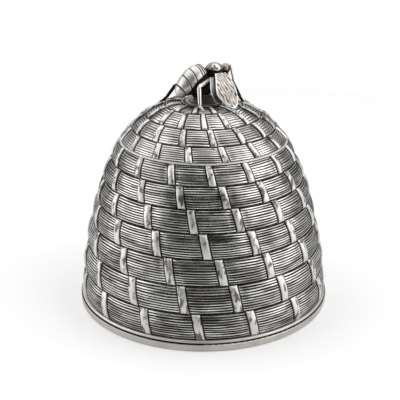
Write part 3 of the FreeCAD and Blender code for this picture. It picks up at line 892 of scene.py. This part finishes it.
def bee_leg(hip_share, knee, ankle_at, toe_at, side, darkness):
    """Leg of thigh, shin and foot, from the thorax to a toe on the lid, with dark joints and an even
    painted shade as deep as darkness.
    """
    hip_at = THORAX_PLACE[0] + hip_share * THORAX_LENGTH / 2
    hip = Vector((hip_at, side * HIP_SIDE, THORAX_PLACE[2] - HIP_DROP))
    knee = Vector(knee)
    ankle = Vector(ankle_at + (surface_up(*ankle_at) + LEG_RADII[2],))
    toe = Vector(toe_at + (surface_up(*toe_at) - LEG_SINK,))
    form = Form()

    def joint(a, b, size_a, size_b, swell):
        reach = (b - a).normalized()
        start = a - reach * size_a * LEG_LAP
        end = b + reach * size_b * LEG_LAP

        def radius(share):
            taper = size_a + (size_b - size_a) * share
            return taper * (1 + swell * math.sin(math.pi * share)) * min(1.0, oval(share) * 1.5)

        # The whole leg takes its painted shade, and the ends of each part are dark joints.
        def dark(share):
            return max(darkness, 0.8 * smooth(1 - min(share, 1 - share) / 0.07))

        spindle(form, start, end, radius, LEG_MESH, LEG_FLATNESS, dark)

    joint(hip, knee, LEG_RADII[0], LEG_RADII[1] * 1.1, 0.1)
    joint(knee, ankle, LEG_RADII[1], LEG_RADII[2], 0.06)
    joint(ankle, toe, LEG_RADII[2], LEG_RADII[3], 0.10)
    return form


def bee_antenna(side):
    """Feeler with an elbow and a ringed end."""
    def from_head(forward, left, up):
        return Vector(HEAD_PLACE) + Vector((forward, side * left, up))

    def bead(share):
        return math.cos(2 * math.pi * BEAD_COUNT * share)

    def ringed(share):
        return ANTENNA_RADIUS - ANTENNA_TAPER * share + BEAD_HEIGHT * bead(share)

    base = from_head(HEAD_RADIUS / 2, HEAD_RADIUS / 4, HEAD_RADIUS / 2)
    elbow = from_head(*ANTENNA_ELBOW)
    tip = from_head(*ANTENNA_TIP)
    form = Form()
    spindle(form, base, elbow, lambda s: ANTENNA_RADIUS * min(1, oval(s) * 2), ANTENNA_STALK_MESH)
    spindle(form, elbow + (elbow - tip).normalized() * ANTENNA_ELBOW_LAP, tip,
            lambda s: ringed(s) * min(1, oval(s) * 2), ANTENNA_BEAD_MESH,
            dark=lambda s: 0.6 * smooth(-bead(s)))
    return form


def crown_disc():
    """Low round cap with a raised edge and a chased ring, under the bee, painted dark all over: painted
    shade under the bee, with oxide deepest in the chased ring and at the step of its edge.
    """
    shell = Shell()
    floor = crest_height(CROWN_RADIUS) - CROWN_SEAT
    edge = (floor + DOME_HEIGHT) / 2
    top = DOME_HEIGHT - CROWN_DROP
    # Each ring's dark value is painted shade under the bee, deepened by oxide in the chased ring and at
    # the step by the edge.
    shell.plain_ring(0, floor, 0.9)
    shell.plain_ring(CROWN_RADIUS, floor, 0.9)
    shell.plain_ring(CROWN_RADIUS, edge - EDGE_ROUND, 0.8)
    shell.plain_ring(CROWN_RADIUS - EDGE_ROUND, edge, 0.5)
    for inset, drop, dark in CROWN_EDGE_RINGS:
        shell.plain_ring(CROWN_RADIUS - inset, edge - drop, dark)
    for i in range(CROWN_CAP_STEPS):
        r = (CROWN_RADIUS - CROWN_CAP_INSET) * (1 - i / CROWN_CAP_STEPS)
        ring = smooth(1 - abs(r - CROWN_RADIUS * CROWN_RING_SHARE) / CROWN_RING_WIDTH)
        z = edge + (top - edge) * (1 - (r / CROWN_RADIUS) ** 2) - CROWN_RING_DEPTH * ring
        shell.plain_ring(r, z, 0.40 + 0.48 * ring)
    shell.plain_ring(0, top, 0.7)
    return shell


class Shader:
    """The nodes of a material or a world, added one by one in front of its surface node."""

    def __init__(self, owner, surface="Principled BSDF"):
        owner.use_nodes = True
        self.owner = owner
        self.tree = owner.node_tree
        self.surface = self.tree.nodes[surface]

    def set(self, **values):
        """Sets constants on the surface node's own sockets."""
        for name, value in values.items():
            self.surface.inputs[name.replace("_", " ")].default_value = value

    def feed(self, name, source):
        """Joins a socket to one of the surface node's inputs."""
        self.join(source, self.surface.inputs[name])

    def join(self, source, target):
        """Joins two sockets."""
        self.tree.links.new(source, target)

    def add(self, kind):
        """Adds a node of a kind."""
        return self.tree.nodes.new("ShaderNode" + kind)

    def place(self, kind):
        """Coordinates of a kind."""
        return self.add("TexCoord").outputs[kind]

    def attribute(self, name):
        """Value that is stored in the mesh at each point."""
        node = self.add("Attribute")
        node.attribute_name = name
        return node.outputs["Fac"]

    def camera_ray(self):
        """1 where the camera sees the surface itself and 0 in a reflection."""
        return self.add("LightPath").outputs["Is Camera Ray"]

    def math(self, operation, *values):
        """Result of an operation on numbers or sockets."""
        node = self.add("Math")
        node.operation = operation
        for socket, value in zip(node.inputs, values):
            if isinstance(value, (int, float)):
                socket.default_value = value
            else:
                self.join(value, socket)
        return node.outputs[0]

    def apart(self, value, middle):
        """Distance of a value from a number."""
        return self.math("ABSOLUTE", self.math("SUBTRACT", value, middle))

    def ramp(self, value, low, high, out_low=0.0, out_high=1.0):
        """Smooth change from out_low to out_high as value goes from low to high."""
        node = self.add("MapRange")
        node.interpolation_type = "SMOOTHSTEP"
        self.join(value, node.inputs["Value"])
        limits = {"From Min": low, "From Max": high, "To Min": out_low, "To Max": out_high}
        for name, number in limits.items():
            node.inputs[name].default_value = number
        return node.outputs["Result"]

    def noise(self, scale, detail=3.0, stretch=(1.0, 1.0, 1.0)):
        """Soft noise in the object's own place, with scale in features per metre."""
        mapping = self.add("Mapping")
        mapping.inputs["Scale"].default_value = stretch
        self.join(self.place("Object"), mapping.inputs["Vector"])
        node = self.add("TexNoise")
        node.inputs["Scale"].default_value = scale
        node.inputs["Detail"].default_value = detail
        self.join(mapping.outputs["Vector"], node.inputs["Vector"])
        return node.outputs["Fac"]

    def height(self):
        """Height in the object's own place, in metres."""
        split = self.add("SeparateXYZ")
        self.join(self.place("Object"), split.inputs["Vector"])
        return split.outputs["Z"]

    def mix(self, factor, first, second):
        """Colour between two colours or colour sockets."""
        node = self.add("Mix")
        node.data_type = "RGBA"
        self.join(factor, node.inputs["Factor"])
        for value, socket in zip((first, second), [s for s in node.inputs if s.type == "RGBA"]):
            if isinstance(value, tuple):
                socket.default_value = value + (1.0,)
            else:
                self.join(value, socket)
        return [s for s in node.outputs if s.type == "RGBA"][0]

    def bump(self, height, strength, distance):
        """Fine relief on the surface, with its depth in mm."""
        node = self.add("Bump")
        node.inputs["Strength"].default_value = strength
        node.inputs["Distance"].default_value = distance * MM
        self.join(height, node.inputs["Height"])
        self.feed("Normal", node.outputs["Normal"])


def new_shader(name, **values):
    """Shader of a new material with constants on its surface."""
    shader = Shader(bpy.data.materials.new(name))
    shader.set(**values)
    return shader


def coil_silver():
    """Chased silver: bright ridges and straps over lines darkened by oxide."""
    shader = new_shader("coil_silver", Metallic=1.0)
    patina = shader.noise(95.0, 4.0)
    streak = shader.noise(70.0, 3.0, (1.0, 1.0, 9.0))
    fine = shader.noise(900.0, 3.0)
    blotch = shader.noise(520.0, 3.0, (1.0, 1.0, 0.45))
    oxide = shader.attribute("dark")
    strap = shader.attribute("strap")
    phase = shader.math("FRACT", shader.attribute("straw"))
    cut = shader.math("ADD", shader.apart(phase, 0.5), shader.ramp(streak, 0.3, 0.7, -0.07, 0.06))
    cut = shader.math("ADD", cut, shader.ramp(oxide, 0.0, 1.0, -0.06, 0.0))
    line = shader.math("MULTIPLY", shader.ramp(cut, *LINE_EDGE), shader.ramp(oxide, 0.0, 1.0, 0.84, 1.0))
    on_strap = shader.ramp(strap, *STRAP_EDGE)
    channel = shader.ramp(shader.apart(strap, CHANNEL_MIDDLE), *CHANNEL_EDGE)
    groove = shader.ramp(shader.attribute("groove"), *GROOVE_EDGE)
    straw_line = shader.math("MULTIPLY", line, shader.math("SUBTRACT", 1.0, on_strap))
    dark = shader.math("MAXIMUM", shader.math("MAXIMUM", straw_line, channel), groove)
    dark = shader.math("MULTIPLY", dark, shader.ramp(fine, 0.2, 0.8, 1.0, 0.90))
    tone = shader.mix(shader.ramp(patina, 0.35, 0.60), WORN_SILVER, BRIGHT_SILVER)
    unpolished = shader.ramp(oxide, 0.0, 1.0, 0.2, 0.60)
    tone = shader.mix(shader.math("MULTIPLY", shader.ramp(streak, 0.50, 0.62), unpolished), tone, TARNISH)
    tone = shader.mix(on_strap, tone, STRAP_SILVER)
    stained = shader.ramp(blotch, 0.50, 0.64, 0.0, 0.9)
    tone = shader.mix(shader.math("MULTIPLY", on_strap, stained), tone, STAIN)
    shader.feed("Base Color", shader.mix(dark, tone, OXIDE))
    gloss = shader.ramp(patina, 0.3, 0.7, 0.32, 0.22)
    satin = shader.math("MULTIPLY", shader.math("MAXIMUM", dark, on_strap), 0.24)
    shader.feed("Roughness", shader.math("ADD", gloss, satin))
    shader.bump(shader.noise(1600.0, 2.0), 0.14, 0.05)
    return shader.owner


def plain_silver(name, colour, roughness, tarnish, joint=None):
    """Satin silver with fine wear and soft stains, and oxide at the height of a joint if it has one."""
    shader = new_shader(name, Metallic=1.0)
    patina = shader.noise(120.0, 4.0)
    stain = shader.ramp(shader.noise(60.0, 5.0), 0.48, 0.75, 0.0, tarnish)
    tone = shader.mix(shader.ramp(patina, 0.3, 0.7, 0.0, 0.3), colour, WORN_SILVER)
    tone = shader.mix(stain, tone, TARNISH)
    if joint is not None:
        away = shader.apart(shader.height(), joint * MM)
        tone = shader.mix(shader.ramp(away, JOINT_DARK * MM, JOINT_CLEAR * MM, 1.0, 0.0), tone, OXIDE)
    shader.feed("Base Color", tone)
    shader.feed("Roughness", shader.ramp(patina, 0.25, 0.75, roughness - 0.06, roughness + 0.08))
    shader.bump(shader.noise(1800.0, 3.0, (1.0, 1.0, 6.0)), 0.10, 0.04)
    return shader.owner


def bee_silver():
    """Polished cast silver darkened by each point's dark value: oxide where the form is chased, painted
    shade under the thorax and belly, on the crown disc, on the shaded legs and under the wings, and a
    painted highlight round the thorax's crescents.
    """
    shader = new_shader("bee_silver", Metallic=1.0)
    fine = shader.noise(1300.0, 3.0)
    dark = shader.ramp(shader.attribute("dark"), 0.08, 0.85)
    dark = shader.math("MULTIPLY", dark, shader.ramp(fine, 0.25, 0.75, 1.0, 0.88))
    worn = shader.ramp(shader.noise(500.0, 4.0), 0.5, 0.8, 0.0, 0.6)
    tone = shader.mix(worn, BRIGHT_SILVER, WORN_SILVER)
    tone = shader.mix(shader.ramp(dark, 0.0, 0.5), tone, WARM_PATINA)
    tone = shader.mix(shader.ramp(dark, 0.5, 1.0), tone, OXIDE)
    shader.feed("Base Color", tone)
    satin = shader.math("MULTIPLY", dark, 0.20)
    shader.feed("Roughness", shader.math("ADD", shader.ramp(fine, 0.3, 0.7, 0.34, 0.44), satin))
    shader.bump(fine, 0.15, 0.05)
    return shader.owner


def liner_glass():
    """Clear glass with faint waves from the mould."""
    shader = new_shader("liner_glass", Transmission_Weight=1.0, IOR=1.5, Base_Color=GLASS_TINT)
    waves = shader.noise(70.0, 2.0, (1.0, 1.0, 0.4))
    shader.feed("Roughness", shader.ramp(waves, 0.3, 0.7, 0.01, 0.04))
    shader.bump(waves, 0.08, 0.3)
    return shader.owner


def new_object(name, data):
    """Makes an object and puts it in the scene."""
    made = bpy.data.objects.new(name, data)
    bpy.context.scene.collection.objects.link(made)
    return made


def add_piece(name, points, faces, values, body, materials, sharp):
    """Makes a mesh object that stands for the CAD node of the same name."""
    mesh = bpy.data.meshes.new(name)
    mesh.from_pydata([p * MM for p in points], [], faces)
    for key, numbers in values.items():
        layer = mesh.attributes.new(key, "FLOAT", "POINT")
        layer.data.foreach_set("value", numbers)
    mesh.polygons.foreach_set("use_smooth", [True] * len(faces))
    mesh.set_sharp_from_angle(angle=math.radians(sharp))
    for material in materials:
        mesh.materials.append(material)
    mesh.validate()
    mesh.update()
    piece = new_object(name + "_visual", mesh)
    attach(piece, body)
    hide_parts(name)
    return piece


def add_shell(name, shell, body, outside, inside):
    """Makes a piece of a shell, with inside as the material of its plain rings."""
    piece = add_piece(name, shell.points, shell.faces, shell.values, body,
                      [outside, inside], SMOOTH_ANGLE)
    piece.data.polygons.foreach_set("material_index", [1 if plain else 0 for plain in shell.plain])


def add_bee_piece(name, form, material):
    """Makes a piece of the bee, set on top of the dome."""
    place = Matrix.Translation((0, 0, DOME_HEIGHT)) @ Matrix.Rotation(math.radians(BEE_HEADING), 4, "Z")
    points = [place @ p for p in form.points]
    add_piece(name, points, form.faces, {"dark": form.dark}, "lid",
              [material], BEE_SMOOTH_ANGLE)


def dress_nodes(materials):
    """Gives the CAD nodes that stay in view their materials."""
    for name, material in materials.items():
        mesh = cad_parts[name].data
        mesh.materials.clear()
        mesh.materials.append(material)


def build_pot(chased):
    """Dresses the plain CAD nodes and adds the coiled shells and the crown disc."""
    coil = coil_silver()
    satin = plain_silver("satin_silver", BRIGHT_SILVER, roughness=0.48, tarnish=0.20)
    inside = plain_silver("inside_silver", BRIGHT_SILVER, roughness=0.36, tarnish=0.35)
    hinge = plain_silver("hinge_silver", WORN_SILVER, roughness=0.40, tarnish=0.60)
    dress_nodes({
        "foot_ring": plain_silver("foot_silver", FOOT_SILVER, 0.48, 0.20, FOOT_HEIGHT),
        "foot_wire": plain_silver("wire_silver", WIRE_SILVER, 0.48, 0.20, FOOT_HEIGHT),
        "lid_rim": satin,
        "base_plate": inside,
        "mouth_ring": satin,
        "glass_liner": liner_glass(),
        "hinge_leaf_body": hinge,
        "hinge_knuckles_body": hinge,
        "hinge_leaf_lid": hinge,
        "hinge_knuckles_lid": hinge,
        "hinge_pin": hinge,
    })
    add_shell("body_shell", body_shell(), "pot", coil, inside)
    add_shell("lid_shell", lid_shell(), "lid", coil, inside)
    # The crown disc is dressed in the bee's silver, darkened by oxide and by painted shade under the bee.
    add_shell("crown_disc", crown_disc(), "lid", chased, chased)


def build_bee(silver):
    """Adds the bee's body, wings, feelers and legs."""
    forewings = {
        "right": Wing(18.2, 7.3, -0.4, FOREWING_ROOT, RIGHT_WING_BEND, 0.7),
        "left": Wing(16.6, 9.0, 4.0, FOREWING_ROOT, LEFT_WING_BEND, 0.2, FAR_WING_LID_GAP),
    }
    hindwings = {
        "right": Wing(13.4, 5.4, -2.0, HINDWING_ROOT, RIGHT_WING_BEND, 0.3),
        "left": Wing(12.0, 8.0, -5.0, HINDWING_ROOT, LEFT_WING_BEND, 0.2, FAR_WING_LID_GAP),
    }
    add_bee_piece("bee_thorax", bee_thorax(), silver)
    add_bee_piece("bee_head", bee_head(), silver)
    add_bee_piece("bee_abdomen", bee_abdomen(), silver)
    for word, side in (("right", -1), ("left", 1)):
        add_bee_piece("bee_forewing_" + word, bee_wing(forewings[word], fore_finish, side), silver)
        add_bee_piece("bee_hindwing_" + word, bee_wing(hindwings[word], hind_finish, side), silver)
        add_bee_piece("bee_antenna_" + word, bee_antenna(side), silver)
    for name, values in LEGS.items():
        add_bee_piece(name, bee_leg(*values), silver)


def make_floor():
    """Pale round table top, which meets the white studio all round."""
    mesh = bpy.data.meshes.new("floor")
    rim = [tuple(on_axis(FLOOR_RADIUS, 0, 360 / FLOOR_CORNERS * i)) for i in range(FLOOR_CORNERS)]
    mesh.from_pydata(rim, [], [tuple(range(FLOOR_CORNERS))])
    shader = new_shader("pale_floor", Base_Color=FLOOR_GREY, Emission_Color=WHITE)
    shader.feed("Emission Strength", shader.math("MULTIPLY", shader.camera_ray(), FLOOR_GLOW))
    shader.feed("Roughness", shader.ramp(shader.noise(4.0), 0.3, 0.7, 0.7, 0.8))
    mesh.materials.append(shader.owner)
    floor = new_object("floor", mesh)


def make_world():
    """White studio with a dark room behind the camera, as polished silver sees it."""
    shader = Shader(bpy.data.worlds.new("studio"), "Background")
    bpy.context.scene.world = shader.owner
    toward = shader.add("VectorMath")
    toward.operation = "DOT_PRODUCT"
    toward.inputs[1].default_value = Vector(ROOM_DIRECTION).normalized()
    shader.join(shader.place("Generated"), toward.inputs[0])
    light = shader.ramp(toward.outputs["Value"], *ROOM_EDGE, STUDIO_LIGHT, ROOM_LIGHT)
    shader.set(Color=WHITE)
    shader.feed("Strength", shader.math("MAXIMUM", shader.camera_ray(), light))


def make_lights():
    """Softboxes over the pot and on both sides of it."""
    for name, (place, size, power) in SOFTBOXES.items():
        data = bpy.data.lights.new(name, "AREA")
        data.shape = "RECTANGLE"
        data.size, data.size_y = size
        data.energy = power
        light = new_object(name, data)
        light.location = place
        direction = Vector(LIGHT_TARGET) - Vector(place)
        light.rotation_euler = direction.to_track_quat("-Z", "Y").to_euler()


def make_camera():
    """Camera in front of the pot, at the fitted distance and elevation."""
    data = bpy.data.cameras.new("camera")
    data.lens = FOCAL_PIXELS / IMAGE_SIZE * data.sensor_width
    data.clip_start = 0.01
    camera = new_object("camera", data)
    up = math.radians(CAMERA_ELEVATION)
    back = CAMERA_DISTANCE * math.cos(up)
    camera.location = Vector((CAMERA_SIDE, -back, CAMERA_TARGET + CAMERA_DISTANCE * math.sin(up))) * MM
    camera.rotation_euler = (math.pi / 2 - up, 0, 0)
    bpy.context.scene.camera = camera


oxide_and_shade_silver = bee_silver()
build_pot(oxide_and_shade_silver)
build_bee(oxide_and_shade_silver)
make_floor()
make_world()
make_lights()
make_camera()
bpy.context.scene.view_settings.view_transform = "Standard"
